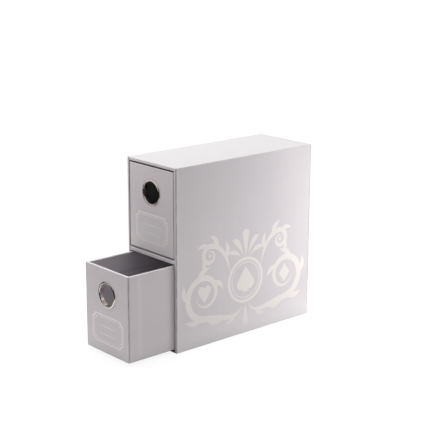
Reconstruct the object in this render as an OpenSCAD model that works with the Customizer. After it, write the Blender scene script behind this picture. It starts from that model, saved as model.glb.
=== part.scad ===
// Playing card box: a paper-wrapped board case with two drawers, one over the other.
// Millimetres, +Z up. The origin is the centre of the case's underside.
// The drawers open towards -Y. The upper one is shut and the lower one stands open.

/* [Cards] */
// Room across a drawer, for the width of a sleeved card
card_room_w = 69; // [45:0.5:120]
// Room from a drawer's floor to its rim, for the height of a sleeved card
card_room_h = 92.1; // [60:0.1:150]
// Room along a drawer, for the row of cards
card_room_d = 192.4; // [100:0.1:320]

/* [Boards and papers] */
// Thickness of the grey board in the case's walls
case_board = 2.5; // [1:0.1:4]
// Thickness of each of the two boards that make the shelf
shelf_board = 2.1; // [1:0.1:4]
// Thickness of the drawers' grey board
drawer_board = 2.5; // [1:0.1:4]
// Thickness of the printed paper that is glued round the boards
wrap = 0.3; // [0.15:0.05:0.5]
// Thickness of the plain paper that lines the insides
liner = 0.3; // [0.15:0.05:0.5]
// Radius of the outer edges, where the paper folds round a board
fold_r = 1.2; // [0.6:0.1:2]
// Height of the seam that shows between the edges of the two shelf boards
shelf_seam = 0.4; // [0.1:0.1:1]

/* [Running gaps] */
// Gap at each side of a drawer in its bay
side_gap = 0.6; // [0.3:0.1:2]
// Gap over a drawer in its bay
top_gap = 1.5; // [0.5:0.1:4]
// Gap under a drawer, and behind one that is shut
rest_gap = 0.3; // [0.1:0.1:1]
// Distance by which the lower drawer stands open
lower_open = 61; // [0:1:90]

/* [Finger rings] */
// Distance from a drawer's rim down to the centre of its ring
ring_drop = 28.7; // [18:0.1:42]
// Diameter of the clear hole for a finger
ring_hole_d = 24.4; // [16:0.1:30]
// Radius of the round bead that stands out in front
ring_bead_r = 1.4; // [0.9:0.1:2.5]
// Thickness of the ring's sheet metal
ring_metal = 0.5; // [0.3:0.05:0.7]
// Radius of the small curl that locks the ring at the back
ring_curl_r = 0.9; // [0.8:0.1:1.3]
// Thickness of the washer under the curl
washer_t = 0.6; // [0.3:0.1:1.5]
// Width of the washer, from its hole to its rim
washer_band = 2.4; // [2:0.1:4]
// Gap round the ring's barrel in the hole that it passes through
ring_fit = 0.1; // [0.05:0.05:0.3]

/* [Hidden] */

// Smoothness of every round face
$fn = 48;
// A cut runs past the face that it opens by this much
past = 1;

// A whole wall: its board, the paper outside and the lining inside
case_wall = wrap + case_board + liner;
drawer_wall = wrap + drawer_board + liner;

// A drawer outside
drawer_w = card_room_w + 2 * drawer_wall;
drawer_h = card_room_h + drawer_wall;
drawer_d = card_room_d + 2 * drawer_wall;

// The bay that a drawer runs in
bay_w = drawer_w + 2 * side_gap;
bay_h = rest_gap + drawer_h + top_gap;
bay_d = drawer_d + rest_gap;

// The shelf between the bays is two boards, lined above and below
shelf = 2 * shelf_board + 2 * liner;

// The case outside, and where its front and back faces lie
case_w = bay_w + 2 * case_wall;
case_h = 2 * bay_h + shelf + 2 * case_wall;
case_d = bay_d + case_wall;
front_y = -case_d / 2;
back_y = case_d / 2;

// Floor of each bay, and the half width and the depth that its lining takes up
lower_bay_z = case_wall;
upper_bay_z = case_wall + bay_h + shelf;
lined_x = bay_w / 2 + liner;
lined_y = front_y + bay_d + liner;
shelf_mid_z = lower_bay_z + bay_h + shelf / 2;

// The ring, measured from its own axis and from the front face of the drawer
ring_z = drawer_h - ring_drop;
ring_bore_r = ring_hole_d / 2;
ring_barrel_r = ring_bore_r + ring_metal;
ring_cut_r = ring_barrel_r + ring_fit;
ring_length = drawer_wall + washer_t;

board_colour = "#9c968b";
wrap_colour = "#cfcbcd";
liner_colour = "#bcb7bc";
metal_colour = "#d9d6d2";

// A flat rounded rectangle, centred
module rounded(w, h, r) {
    square([w - 2 * r, h], center = true);
    square([w, h - 2 * r], center = true);
    for (x = [-1, 1], y = [-1, 1])
        translate([x * (w / 2 - r), y * (h / 2 - r)]) circle(r);
}

// A block on the ground with all twelve edges rounded, centred in X and Y
module soft_block(w, d, h, r) {
    intersection() {
        linear_extrude(h) rounded(w, d, r);
        translate([0, d / 2, h / 2]) rotate([90, 0, 0]) linear_extrude(d) rounded(w, h, r);
        translate([-w / 2, 0, h / 2]) rotate([90, 0, 90]) linear_extrude(w) rounded(d, h, r);
    }
}

// A box between two corners
module between(low, high) {
    translate(low) cube(high - low);
}

// The outside of the case, drawn in by some depth of paper
module case_shape(inset) {
    translate([0, 0, inset])
        soft_block(case_w - 2 * inset, case_d - 2 * inset, case_h - 2 * inset, fold_r - inset);
}

// The clear space of one bay, open at the front
module bay(floor_z) {
    between([-bay_w / 2, front_y - past, floor_z], [bay_w / 2, front_y + bay_d, floor_z + bay_h]);
}

// A side wall's board: side is -1 on the left and 1 on the right
module case_side_board(side) {
    color(board_colour) intersection() {
        case_shape(wrap);
        between([min(side * lined_x, side * case_w / 2), front_y, 0],
                [max(side * lined_x, side * case_w / 2), back_y, case_h]);
    }
}

module case_left_board() { case_side_board(-1); }
module case_right_board() { case_side_board(1); }

module case_top_board() {
    color(board_colour) intersection() {
        case_shape(wrap);
        between([-lined_x, front_y, case_h - wrap - case_board], [lined_x, back_y, case_h]);
    }
}

module case_bottom_board() {
    color(board_colour) intersection() {
        case_shape(wrap);
        between([-lined_x, front_y, 0], [lined_x, back_y, wrap + case_board]);
    }
}

module case_back_board() {
    color(board_colour)
        between([-lined_x, lined_y, wrap + case_board],
                [lined_x, back_y - wrap, case_h - wrap - case_board]);
}

module shelf_lower_board() {
    color(board_colour)
        between([-lined_x, front_y + wrap, shelf_mid_z - shelf_board], [lined_x, lined_y, shelf_mid_z]);
}

module shelf_upper_board() {
    color(board_colour)
        between([-lined_x, front_y + wrap, shelf_mid_z], [lined_x, lined_y, shelf_mid_z + shelf_board]);
}

// One sheet round the left side, the top and the right side, open in front, behind and below
module case_wrap_paper() {
    open_x = case_w / 2 - fold_r + wrap;
    open_z = case_h - fold_r + wrap / 2;
    color(wrap_colour) difference() {
        intersection() {
            case_shape(0);
            between([-case_w / 2, front_y + wrap, wrap], [case_w / 2, back_y - wrap, case_h]);
        }
        case_shape(wrap);
        between([-open_x, front_y, 0], [open_x, back_y, open_z]);
    }
}

// The strip over the front edges of the boards, with the seam along the shelf
module case_edge_paper() {
    color(wrap_colour) difference() {
        intersection() {
            case_shape(0);
            between([-case_w / 2, front_y, wrap], [case_w / 2, front_y + wrap, case_h]);
        }
        bay(lower_bay_z);
        bay(upper_bay_z);
        between([-bay_w / 2, front_y - past, shelf_mid_z - shelf_seam / 2],
                [bay_w / 2, front_y + wrap + past, shelf_mid_z + shelf_seam / 2]);
    }
}

module case_back_paper() {
    color(wrap_colour) intersection() {
        case_shape(0);
        between([-case_w / 2, back_y - wrap, wrap], [case_w / 2, back_y, case_h]);
    }
}

module case_base_paper() {
    color(wrap_colour) intersection() {
        case_shape(0);
        between([-case_w / 2, front_y, 0], [case_w / 2, back_y, wrap]);
    }
}

// The lining of one bay: floor, roof, both sides and back
module bay_liner(floor_z) {
    color(liner_colour) difference() {
        between([-lined_x, front_y + wrap, floor_z - liner], [lined_x, lined_y, floor_z + bay_h + liner]);
        bay(floor_z);
    }
}

module lower_bay_liner() { bay_liner(lower_bay_z); }
module upper_bay_liner() { bay_liner(upper_bay_z); }

// The drawer pieces stand in the drawer's own place: front face at Y 0, underside at Z 0
module drawer_shape(inset) {
    translate([0, drawer_d / 2, inset])
        soft_block(drawer_w - 2 * inset, drawer_d - 2 * inset, drawer_h - 2 * inset, fold_r - inset);
}

// The room for the cards, open at the top
module card_room() {
    between([-card_room_w / 2, drawer_wall, drawer_wall],
            [card_room_w / 2, drawer_d - drawer_wall, drawer_h + past]);
}

// Puts a shape drawn round the Z axis onto the ring's axis, its front towards -Y
module on_ring_axis() {
    translate([0, 0, ring_z]) rotate([90, 0, 0]) children();
}

// The hole in the front wall that the ring's barrel passes through
module ring_cut() {
    on_ring_axis() translate([0, 0, -drawer_wall - past]) cylinder(h = drawer_wall + 2 * past, r = ring_cut_r);
}

module drawer_front_board() {
    color(board_colour) difference() {
        intersection() {
            drawer_shape(wrap);
            between([-drawer_w / 2, 0, 0], [drawer_w / 2, wrap + drawer_board, drawer_h]);
        }
        ring_cut();
    }
}

module drawer_back_board() {
    color(board_colour) intersection() {
        drawer_shape(wrap);
        between([-drawer_w / 2, drawer_d - wrap - drawer_board, 0], [drawer_w / 2, drawer_d, drawer_h]);
    }
}

// A side board stands between the front and back boards: side is -1 or 1
module drawer_side_board(side) {
    inner_x = drawer_w / 2 - wrap - drawer_board;
    color(board_colour) intersection() {
        drawer_shape(wrap);
        between([min(side * inner_x, side * drawer_w / 2), wrap + drawer_board, 0],
                [max(side * inner_x, side * drawer_w / 2), drawer_d - wrap - drawer_board, drawer_h]);
    }
}

// The bottom board lies between all four walls
module drawer_bottom_board() {
    inner_x = drawer_w / 2 - wrap - drawer_board;
    color(board_colour)
        between([-inner_x, wrap + drawer_board, wrap],
                [inner_x, drawer_d - wrap - drawer_board, wrap + drawer_board]);
}

// The printed paper covers the outside and turns in over the rim
module drawer_wrap_paper() {
    color(wrap_colour) difference() {
        drawer_shape(0);
        drawer_shape(wrap);
        card_room();
        ring_cut();
    }
}

// The lining stops under the turned-in rim
module drawer_liner_paper() {
    room_x = card_room_w / 2 + liner;
    color(liner_colour) difference() {
        between([-room_x, drawer_wall - liner, drawer_wall - liner],
                [room_x, drawer_d - drawer_wall + liner, drawer_h - wrap]);
        card_room();
        ring_cut();
    }
}

// One metal ring: a hollow bead in front, a barrel through the wall and a curl behind
module finger_ring() {
    color(metal_colour) on_ring_axis() rotate_extrude() {
        intersection() {
            translate([ring_bore_r + ring_bead_r, 0]) difference() {
                circle(ring_bead_r);
                circle(ring_bead_r - ring_metal);
            }
            translate([ring_bore_r, 0]) square([2 * ring_bead_r, ring_bead_r]);
        }
        translate([ring_bore_r, -ring_length]) square([ring_metal, ring_length]);
        intersection() {
            translate([ring_bore_r + ring_curl_r, -ring_length]) difference() {
                circle(ring_curl_r);
                circle(ring_curl_r - ring_metal);
            }
            translate([ring_bore_r, -ring_length - ring_curl_r]) square([2 * ring_curl_r, ring_curl_r]);
        }
    }
}

module ring_washer() {
    color(metal_colour) on_ring_axis() translate([0, 0, -ring_length]) difference() {
        cylinder(h = washer_t, r = ring_cut_r + washer_band);
        translate([0, 0, -past]) cylinder(h = washer_t + 2 * past, r = ring_cut_r);
    }
}

// Where each drawer stands
module lower_drawer() { translate([0, front_y - lower_open, lower_bay_z + rest_gap]) children(); }
module upper_drawer() { translate([0, front_y, upper_bay_z + rest_gap]) children(); }

module lower_front_board() { lower_drawer() drawer_front_board(); }
module lower_back_board() { lower_drawer() drawer_back_board(); }
module lower_left_board() { lower_drawer() drawer_side_board(-1); }
module lower_right_board() { lower_drawer() drawer_side_board(1); }
module lower_bottom_board() { lower_drawer() drawer_bottom_board(); }
module lower_wrap_paper() { lower_drawer() drawer_wrap_paper(); }
module lower_liner_paper() { lower_drawer() drawer_liner_paper(); }
module lower_finger_ring() { lower_drawer() finger_ring(); }
module lower_ring_washer() { lower_drawer() ring_washer(); }

module upper_front_board() { upper_drawer() drawer_front_board(); }
module upper_back_board() { upper_drawer() drawer_back_board(); }
module upper_left_board() { upper_drawer() drawer_side_board(-1); }
module upper_right_board() { upper_drawer() drawer_side_board(1); }
module upper_bottom_board() { upper_drawer() drawer_bottom_board(); }
module upper_wrap_paper() { upper_drawer() drawer_wrap_paper(); }
module upper_liner_paper() { upper_drawer() drawer_liner_paper(); }
module upper_finger_ring() { upper_drawer() finger_ring(); }
module upper_ring_washer() { upper_drawer() ring_washer(); }

case_left_board();
case_right_board();
case_top_board();
case_bottom_board();
case_back_board();
shelf_lower_board();
shelf_upper_board();
case_wrap_paper();
case_edge_paper();
case_back_paper();
case_base_paper();
lower_bay_liner();
upper_bay_liner();
lower_front_board();
lower_back_board();
lower_left_board();
lower_right_board();
lower_bottom_board();
lower_wrap_paper();
lower_liner_paper();
lower_finger_ring();
lower_ring_washer();
upper_front_board();
upper_back_board();
upper_left_board();
upper_right_board();
upper_bottom_board();
upper_wrap_paper();
upper_liner_paper();
upper_finger_ring();
upper_ring_washer();
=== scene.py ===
"""Dresses a playing card box: a paper-wrapped board case with two drawers and metal finger rings.

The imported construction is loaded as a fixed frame. Each sub-assembly is a class that models its own
papers, rings and prints round that frame, in metres, and every finish is a small class of its own.
"""

import logging
import math
from dataclasses import dataclass, field
from enum import Enum
from typing import Any, Callable, Optional, Sequence

import bmesh
import bpy
from mathutils import Matrix, Vector


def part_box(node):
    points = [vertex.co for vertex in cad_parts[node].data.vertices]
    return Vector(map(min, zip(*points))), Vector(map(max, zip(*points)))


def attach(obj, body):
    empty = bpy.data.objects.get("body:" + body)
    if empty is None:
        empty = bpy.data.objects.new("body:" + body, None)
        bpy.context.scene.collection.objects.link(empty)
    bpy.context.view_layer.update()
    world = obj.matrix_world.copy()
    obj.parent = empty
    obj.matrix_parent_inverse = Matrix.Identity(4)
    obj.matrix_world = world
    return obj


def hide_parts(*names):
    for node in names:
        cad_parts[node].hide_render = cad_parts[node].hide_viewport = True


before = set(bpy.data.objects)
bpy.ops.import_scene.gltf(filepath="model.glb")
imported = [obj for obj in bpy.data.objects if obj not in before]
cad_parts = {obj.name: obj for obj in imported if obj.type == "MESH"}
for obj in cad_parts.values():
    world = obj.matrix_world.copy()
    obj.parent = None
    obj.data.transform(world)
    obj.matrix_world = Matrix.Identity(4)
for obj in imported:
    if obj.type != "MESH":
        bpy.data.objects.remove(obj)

MM = 0.001
HAIR = 0.1 * MM            # places closer than this count as the same
ALONG, ACROSS = 0.9, 0.1   # a unit vector's part on an axis that it runs along, or across
PAPER = 0.22 * MM          # thickness of a paper sheet as it is modelled here
INK_DEPTH = 0.06 * MM      # the printed faces lie this far inside the frame, and the ink fills it
RIGHT, BACK, UP = (Vector(axis) for axis in ((1, 0, 0), (0, 1, 0), (0, 0, 1)))
log = logging.getLogger("card_box")

Test = Callable[[Vector, Vector], bool]
Colour = tuple[float, float, float]
Point = tuple[float, float]
Place = tuple[float, float, float]
Leaf = tuple[float, float, float, float, float]


class Way(Enum):
    """The side that an open box of lining faces, by the direction out of it."""

    UP = (0, 0, 1)
    FRONT = (0, -1, 0)


class Level(Enum):
    """The two drawers, by their place in the case."""

    LOWER = "lower"
    UPPER = "upper"


def strong(colour: Colour, factor: float) -> list[float]:
    """The colour, stronger or weaker by a factor and at most white."""
    return [min(1.0, part * factor) for part in colour]


class Signal:
    """One value in a shader, so that maths on it reads as an ordinary expression."""

    def __init__(self, nodes: "Nodes", socket: bpy.types.NodeSocket) -> None:
        """Keeps the socket and the tree it belongs to.

        Args:
            nodes: the tree that gets the maths nodes.
            socket: the output socket that holds the value.
        """
        self.nodes = nodes
        self.socket = socket

    def _maths(self, operation: str, *values: Any) -> "Signal":
        """Adds one Math node.

        Args:
            operation: the node's operation.
            values: its inputs, signals or numbers.

        Returns:
            The node's result.
        """
        return self.nodes.add("ShaderNodeMath", {"operation": operation}, values)

    def __add__(self, other: Any) -> "Signal":
        """Sum."""
        return self._maths("ADD", self, other)

    __radd__ = __add__

    def __mul__(self, other: Any) -> "Signal":
        """Product."""
        return self._maths("MULTIPLY", self, other)

    __rmul__ = __mul__

    def __sub__(self, other: Any) -> "Signal":
        """Difference."""
        return self._maths("SUBTRACT", self, other)

    def __rsub__(self, other: Any) -> "Signal":
        """Difference from a number."""
        return self._maths("SUBTRACT", other, self)

    def __abs__(self) -> "Signal":
        """Distance from nought."""
        return self._maths("ABSOLUTE", self)

    def least(self, other: Any) -> "Signal":
        """The smaller of two values."""
        return self._maths("MINIMUM", self, other)

    def most(self, other: Any) -> "Signal":
        """The larger of two values."""
        return self._maths("MAXIMUM", self, other)

    def ramp(self, low: float, high: float) -> "Signal":
        """Rises smoothly from 0 at low to 1 at high, and falls if low is the larger.

        Args:
            low: the value at which the result is 0.
            high: the value at which it is 1.

        Returns:
            The eased share.
        """
        small, large = min(low, high), max(low, high)
        ends = (0.0, 1.0) if low < high else (1.0, 0.0)
        return self.nodes.add(
            "ShaderNodeMapRange", {"interpolation_type": "SMOOTHSTEP"}, (self, small, large, *ends))


class Nodes:
    """A node tree that nodes are added to one by one."""

    def __init__(self, tree: bpy.types.NodeTree) -> None:
        """Keeps the tree."""
        self.tree = tree

    def feed(self, socket: bpy.types.NodeSocket, value: Any) -> None:
        """Links an input socket to a signal, or sets it.

        Args:
            socket: the input socket.
            value: the signal, number or colour.
        """
        if isinstance(value, Signal):
            self.tree.links.new(value.socket, socket)
        else:
            socket.default_value = value

    def add(self, kind: str, settings: dict[str, Any], values: Sequence[Any] | dict[Any, Any],
            output: int | str = 0) -> Signal:
        """Adds one node of any kind.

        Args:
            kind: the node's type name.
            settings: its own settings, which are set before its sockets.
            values: the values or links of its sockets, in order or by name or number.
            output: the output to hand back.

        Returns:
            That output as a signal.
        """
        node = self.tree.nodes.new(kind)
        for key, value in settings.items():
            setattr(node, key, value)
        for key, value in values.items() if isinstance(values, dict) else enumerate(values):
            self.feed(node.inputs[key], value)
        return Signal(self, node.outputs[output])

    def rays(self) -> tuple[Signal, Signal]:
        """What looks at a place.

        Returns:
            1 for the camera's own rays, and 1 for those that gloss or glass sends on.
        """
        camera, gloss, glass = (self.add("ShaderNodeLightPath", {}, (), f"Is {kind} Ray")
                                for kind in ("Camera", "Glossy", "Transmission"))
        return camera, gloss.most(glass)


class Shader(Nodes):
    """A material's node tree round one Principled shader."""

    def __init__(self, name: str) -> None:
        """Makes the material.

        Args:
            name: the material's name.
        """
        self.material = bpy.data.materials.new(name)
        self.material.use_nodes = True
        super().__init__(self.material.node_tree)
        self.surface = self.tree.nodes["Principled BSDF"]
        self.place = self.add("ShaderNodeTexCoord", {}, (), "Object")

    def noise(self, scale: float, stretch: Sequence[float] = (1, 1, 1), detail: float = 3.0) -> Signal:
        """Soft random cloud on the piece's own place.

        Args:
            scale: clouds to a metre.
            stretch: factor along each axis.
            detail: how many finer layers it has.

        Returns:
            The cloud, about 0.5 on average.
        """
        spot = self.add("ShaderNodeMapping", {}, {"Vector": self.place, "Scale": Vector(stretch)})
        return self.add("ShaderNodeTexNoise", {}, {"Vector": spot, "Scale": scale, "Detail": detail})

    def axes(self) -> tuple[Signal, ...]:
        """The place along X, Y and Z."""
        parts = self.add("ShaderNodeSeparateXYZ", {}, [self.place]).socket.node
        return tuple(Signal(self, output) for output in parts.outputs)

    def tint(self, share: Any, colour: Any, other: Any) -> Signal:
        """Blends two colours.

        Args:
            share: how much of the other colour shows.
            colour: the colour at 0.
            other: the colour at 1.

        Returns:
            The blend.
        """
        first, second = (c if isinstance(c, Signal) else (*c, 1.0) for c in (colour, other))
        return self.add("ShaderNodeMix", {"data_type": "RGBA"}, {0: share, 6: first, 7: second}, 2)

    def vary(self, share: Signal, colour: Colour, least: float, most: float) -> Signal:
        """Lets a colour vary between two strengths of itself.

        Args:
            share: 0 for the weakest and 1 for the strongest.
            colour: the colour.
            least: the strength at 0.
            most: the strength at 1.

        Returns:
            The varied colour.
        """
        return self.tint(share, strong(colour, least), strong(colour, most))

    def set(self, **sockets: Any) -> None:
        """Sets the surface's sockets, named with underscores for spaces.

        Args:
            sockets: a number, a colour or a signal for each.
        """
        for key, value in sockets.items():
            self.feed(self.surface.inputs[key.replace("_", " ")], value)

    def relief(self, height: Signal, depth: float) -> None:
        """Gives the surface its fine relief.

        Args:
            height: the relief's height, from 0 to 1.
            depth: how deep it is, in metres.
        """
        bump = self.add("ShaderNodeBump", {}, {"Height": height, "Strength": 1.0, "Distance": depth})
        self.set(Normal=bump)


@dataclass(frozen=True)
class Finish:
    """One finish of the box, made as a material of its own."""

    name: str

    def _paint(self, shader: Shader) -> None:
        """Gives the shader what this finish looks like."""
        raise NotImplementedError

    def material(self) -> bpy.types.Material:
        """Makes the material.

        Returns:
            The material.
        """
        shader = Shader(self.name)
        self._paint(shader)
        return shader.material


@dataclass(frozen=True)
class PrintedPaper(Finish):
    """Pale silver-grey satin paper with a faint upright grain and darkened folds.

    The folds lie at the edges of the box from low to high. Their mark is partly rubbed wear and
    partly painted shade, of the rounded upright corners and under the bottom folds. A mark has the
    width given for it, and lean makes it that much wider on the sides and narrower on the front.
    """

    low: Vector
    high: Vector
    # the fold marks are partly rubbed wear and partly painted shade
    rub_shade_width: float = 1.0 * MM
    rub_shade_share: float = 0.8
    under_shade_share: float = 0.4
    lean: float = 1.0
    skin: float = 0.6 * MM
    front_depth: float = 1.5 * MM
    colour: Colour = (0.600, 0.566, 0.584)
    # brown of worn board, also the colour of the painted shade on the folds
    rub_and_shade_colour: Colour = (0.255, 0.215, 0.200)
    # dark of the seams, also used for painted shade in gaps
    seam: Colour = (0.120, 0.095, 0.085)
    pale: Colour = (0.780, 0.750, 0.760)

    def _depths(self, shader: Shader) -> list[Signal]:
        """How far a point lies behind the nearest face along X, Y and Z."""
        middle, half = (self.low + self.high) / 2, (self.high - self.low) / 2
        return [half[i] - abs(axis - middle[i]) for i, axis in enumerate(shader.axes())]

    def _on_face(self, depth: Signal) -> Signal:
        """1 on the faces that a depth is measured from."""
        return depth.ramp(self.skin, self.skin / 3)

    def _on_front(self, shader: Shader) -> Signal:
        """1 on the front and on the first millimetre behind it."""
        return (shader.axes()[1] - self.low.y).ramp(self.front_depth, self.front_depth / 1.5)

    def _marks(self, shader: Shader, shade: Signal) -> Signal:
        """Adds the marks that only one kind of piece has.

        Args:
            shader: the material's shader.
            shade: its colour so far.

        Returns:
            The colour with the marks.
        """
        return shade

    def _paint(self, shader: Shader) -> None:
        """Makes the paper, with its fold marks of wear and painted shade where this piece's folds are.

        Args:
            shader: the material's shader.
        """
        grain = shader.noise(900, (1, 1, 0.035), 4)
        cloud = shader.noise(38, (1, 1, 0.45), 2)
        band = shader.noise(95, (1, 1, 0.02), 2)
        fibre = shader.noise(2600, (1, 1, 0.5), 5)
        patches = shader.noise(700, (1, 1, 0.12), 3).ramp(0.20, 0.55)
        across, along, _ = self._depths(shader)
        upright = (across * self.lean).most(along * (1 / self.lean))
        height = shader.axes()[2] - self.low.z
        # painted shade: the bottom folds are darkened, where shade falls under the piece
        under = height.most(across.least(along)).ramp(MM + 0.4 * self.rub_shade_width, 0.4 * MM)
        # fold mark: wear and painted corner shade upright, painted shade at the bottom
        rub_and_shade = upright.ramp(self.rub_shade_width, 0.3 * self.rub_shade_width).most(under * self.under_shade_share) * patches
        light = shader.vary(grain * 0.35 + cloud * 0.45 + band * 0.2, self.colour, 0.93, 1.07)
        shade = self._marks(shader, shader.tint(rub_and_shade * self.rub_shade_share, light, self.rub_and_shade_colour))
        shader.set(Base_Color=shade, Roughness=0.42 + fibre * 0.10 + rub_and_shade * 0.2, IOR=1.45)
        shader.relief(fibre * 0.35 + grain * 0.35 + cloud * 0.3, 0.035 * MM)


@dataclass(frozen=True)
class CasePaper(PrintedPaper):
    """The case's paper, with painted shade round the mouths of the bays and a painted highlight
    on the shelf's edge.

    Its top is tinted greyer as painted sheen. On its sides a painted highlight runs beside the
    front fold, and the foot is painted paler as painted light.
    """

    bay: float = 38.2 * MM
    shelf: tuple[float, float] = (100.1 * MM, 104.9 * MM)
    foot: float = 3.1 * MM
    lean: float = 1.75
    rub_shade_share: float = 0.9
    # painted highlight on the sides, a little behind the front fold
    highlight_depth: float = 3.1 * MM
    highlight_share: float = 0.22
    # painted light on the foot of the sides: its height and share
    painted_light_height: float = 40 * MM
    painted_light_share: float = 0.46
    # strength of the painted shade in the gaps
    gap_shade_share: float = 0.85
    # grey that the top is tinted towards, a painted sheen
    top_sheen_tint: Colour = (0.570, 0.570, 0.570)
    # bright tone of the painted highlight on the shelf's top edge
    painted_highlight: Colour = (0.920, 0.890, 0.910)

    def _add_painted_light(self, shader: Shader, shade: Signal) -> Signal:
        """Adds the painted sheen of the top, and the painted highlight and painted light of the sides.

        Args:
            shader: the material's shader.
            shade: its colour so far.

        Returns:
            The colour with the painted sheen, highlight and light.
        """
        x, y, z = shader.axes()
        # painted sheen: the top is tinted greyer, as the white reflection on the satin makes it look
        on_top = z.ramp(self.high.z - self.skin, self.high.z - self.skin / 3)
        shade = shader.tint(on_top, shade, shader.tint(0.5, shade, self.top_sheen_tint))
        # painted highlight: a pale line on the sides a little behind the front fold
        crest = abs(y - self.low.y - self.highlight_depth).ramp(1.2 * MM, 0.4 * MM) * self.highlight_share
        # painted light: the sides grow paler towards the floor, lifting the shade near the foot
        foot = z.ramp(self.painted_light_height, 3 * MM) * self.painted_light_share
        return shader.tint(crest.most(foot) * self._on_face(self.high.x - abs(x)), shade, self.pale)

    def _marks(self, shader: Shader, shade: Signal) -> Signal:
        """Adds the painted light, the painted shade in the mouths and the painted highlight on the
        shelf.

        Args:
            shader: the material's shader.
            shade: its colour so far.

        Returns:
            The colour with the marks.
        """
        x, _, z = shader.axes()
        bottom, top = self.shelf
        shade = self._add_painted_light(shader, shade)
        on_front = self._on_front(shader)
        # painted shade: the bay mouths' edges, the upper sill and the front under the lower drawer
        left = abs(x + self.bay).ramp(0.65 * MM, 0.40 * MM)
        right = abs(x - self.bay).ramp(0.60 * MM, 0.30 * MM) * z.ramp(bottom + MM, bottom)
        inner = abs(x).ramp(self.bay - 0.1 * MM, self.bay - 0.5 * MM) * on_front
        shelf = z.ramp(bottom - 0.2 * MM, bottom) * z.ramp(top + 0.2 * MM, top) * inner
        # painted highlight: the front of the shelf is painted paler, and its top edge paler still
        shade = shader.tint(shelf * 0.3, shade, self.pale)
        shade = shader.tint(z.ramp(top - 2.0 * MM, top - 1.6 * MM) * shelf, shade, self.painted_highlight)
        sill_shade = z.ramp(top - 0.7 * MM, top - 0.4 * MM) * shelf
        foot = z.ramp(self.foot + 0.4 * MM, self.foot) * inner
        gap_shade = (left.most(right) * on_front).most(sill_shade).most(foot)
        return shader.tint(gap_shade * self.gap_shade_share, shade, self.seam)


@dataclass(frozen=True)
class DrawerPaper(PrintedPaper):
    """A drawer's paper: mitred rim seams, painted rim highlight and painted side sheen."""

    rub_shade_width: float = 1.9 * MM
    rub_shade_share: float = 1.0
    under_shade_share: float = 0.8
    wall: float = 3.1 * MM
    # painted sheen: where the pale upright streak on the sides lies, and its share
    painted_sheen_depth: float = 14.5 * MM
    painted_sheen_share: float = 0.12
    # share of the painted highlight on the rim tops
    rim_share: float = 0.3
    mitre_share: float = 0.6
    # painted light on the foot: its height and share
    painted_light_height: float = 34 * MM
    painted_light_share: float = 0.25
    colour: Colour = (0.598, 0.554, 0.576)
    warm: Colour = (0.560, 0.505, 0.516)
    # pale tone of the painted highlight on the rim tops
    bare: Colour = (0.850, 0.880, 0.850)

    def _add_painted_light(self, shader: Shader, shade: Signal) -> Signal:
        """Adds the painted light on the foot."""
        # painted light: paler towards the floor, to lift the shade near the foot
        height = shader.axes()[2] - self.low.z
        return shader.tint(height.ramp(self.painted_light_height, 3 * MM) * self.painted_light_share, shade, self.pale)

    def _marks(self, shader: Shader, shade: Signal) -> Signal:
        """Adds the warmer sides, painted sheen, painted rim highlight, seams and painted light.

        Args:
            shader: the material's shader.
            shade: its colour so far.

        Returns:
            The colour with the marks.
        """
        across, along, up = self._depths(shader)
        on_side = self._on_face(across)
        # painted sheen: a pale upright streak on the sides, a little behind the front
        painted_sheen = abs(shader.axes()[1] - self.low.y - self.painted_sheen_depth).ramp(4 * MM, MM)
        shade = shader.tint(on_side * 0.5, shade, self.warm)
        shade = shader.tint(painted_sheen * on_side * self.painted_sheen_share, shade, self.pale)
        # painted highlight: the rim tops are painted paler, as light from above makes them
        shade = shader.tint(up.ramp(self.skin, self.skin / 2) * self.rim_share, shade, self.bare)
        mitre = abs(across - along).ramp(0.3 * MM, 0.08 * MM)
        on_rim = across.ramp(self.wall, 0.9 * self.wall) * up.ramp(0.7 * MM, 0.4 * MM)
        shade = shader.tint(mitre * on_rim * self.mitre_share, shade, self.seam)
        return self._add_painted_light(shader, shade)


@dataclass(frozen=True)
class UpperDrawerPaper(DrawerPaper):
    """Upper drawer paper: painted light low on the front, painted shade and highlight on its edges."""

    rub_shade_width: float = 1.3 * MM
    # painted light low on the front; painted shade and a painted highlight along its edges
    painted_light_height: float = 44 * MM
    painted_light_share: float = 0.24
    painted_light_rise: float = 0.38
    foot_shade_share: float = 0.78
    # strength of the painted shade on the rim top
    gap_shade_share: float = 0.95

    def _add_painted_light(self, shader: Shader, shade: Signal) -> Signal:
        """Adds the painted light, shade and highlight of the front.

        Args:
            shader: the material's shader.
            shade: its colour so far.

        Returns:
            The colour with these places.
        """
        x, y, z = shader.axes()
        height, on_front = z - self.low.z, self._on_front(shader)
        # painted reflection and painted light: paler low down, more to the left, most in the corner
        corner = x.ramp(-18 * MM, -37 * MM) * height.ramp(62 * MM, 12 * MM) * 0.5
        level = x.ramp(38 * MM, 10 * MM) * self.painted_light_rise + self.painted_light_share
        painted_light = corner.most(height.ramp(self.painted_light_height, 10 * MM) * level)
        shade = shader.tint(painted_light * on_front, shade, self.pale)
        # painted shade: a dark line along the bottom edge of the front, in the gap over the shelf
        foot = height.ramp(2.0 * MM, 0.9 * MM) * on_front
        shade = shader.tint(foot * self.foot_shade_share, shade, self.seam)
        # painted highlight on the front's top fold, painted shade on the rim top under the case's top
        up = self._depths(shader)[2]
        front = (y - self.low.y).ramp(4 * MM, 3 * MM)
        front = z.ramp(self.high.z - 6 * MM, self.high.z - 5 * MM) * front
        shade = shader.tint(up.ramp(1.1 * MM, 0.8 * MM) * front * 0.9, shade, self.pale)
        return shader.tint(up.ramp(0.45 * MM, 0.30 * MM) * front * self.gap_shade_share, shade, self.seam)


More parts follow.
